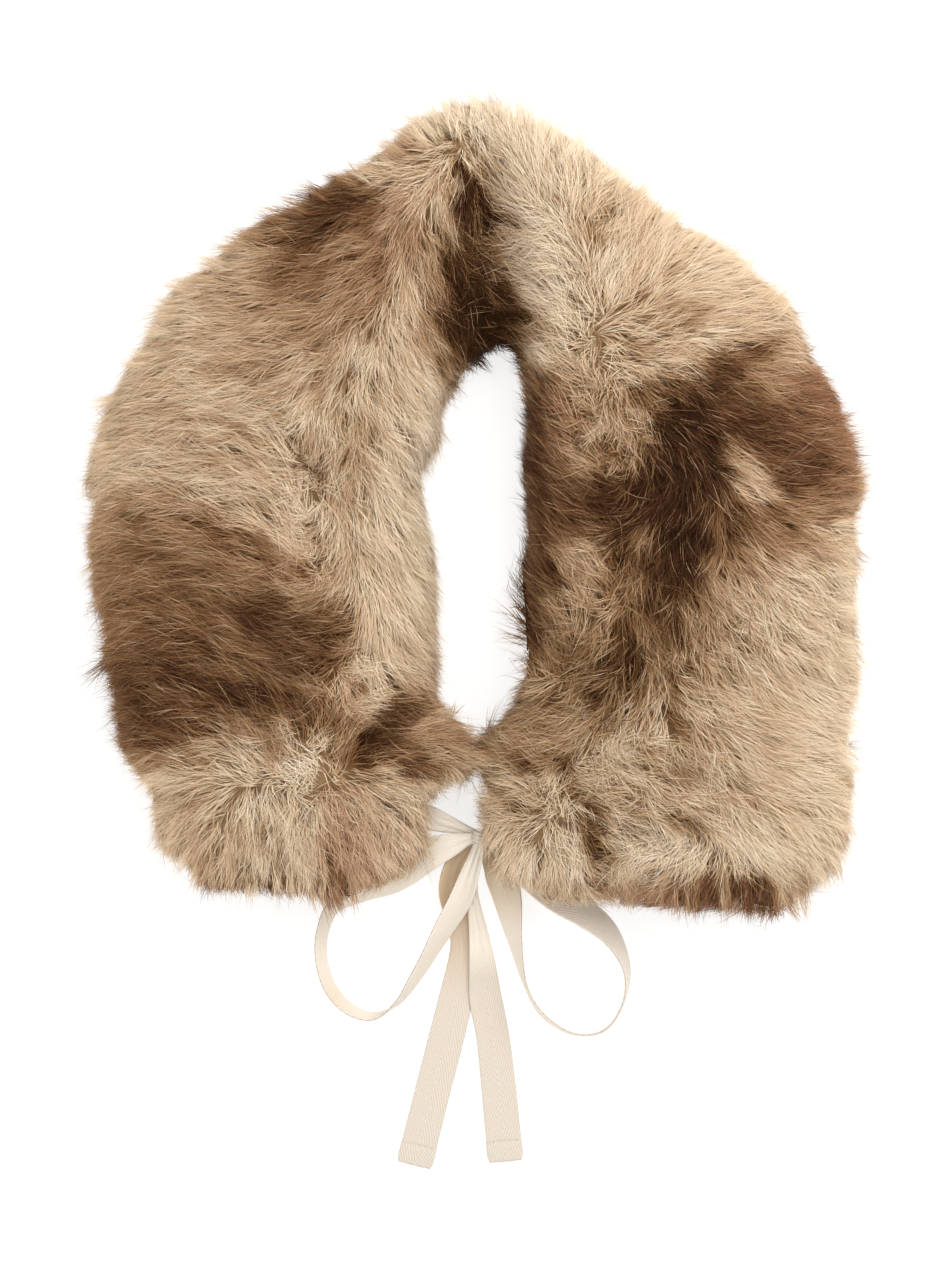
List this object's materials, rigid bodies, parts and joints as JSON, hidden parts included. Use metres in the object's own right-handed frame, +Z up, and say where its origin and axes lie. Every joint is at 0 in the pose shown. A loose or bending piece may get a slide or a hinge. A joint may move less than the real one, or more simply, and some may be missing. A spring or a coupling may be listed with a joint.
{
  "type": "fur collar wrap",
  "caption": "Laid-flat long-pile fur collar in a horseshoe, its front ends tied in a bow of cotton twill tape.",
  "frame": {"origin": "middle of the whole outline in plan, on the surface that the collar lies on", "axes": "+Z up from that surface, +Y towards the back of the neck and away from the bow, +X to the right as it is seen from above"},
  "size_m": [0.3555, 0.4887, 0.0599],
  "materials": {
    "fur_upper": "long soft pile, cream to dark brown",
    "fur_under": "long soft pile, mostly brown",
    "twill_tape": "matt cotton herringbone twill"
  },
  "bodies": {
    "root": {"collar_upper_left": "fur_upper", "collar_upper_right": "fur_upper", "collar_under_left": "fur_under", "collar_under_right": "fur_under", "tie_left_band": "twill_tape", "tie_right_band": "twill_tape", "bow_knot": "twill_tape", "bow_loop_left": "twill_tape", "bow_loop_right": "twill_tape", "tail_left": "twill_tape", "tail_right": "twill_tape"}
  },
  "joints": []
}
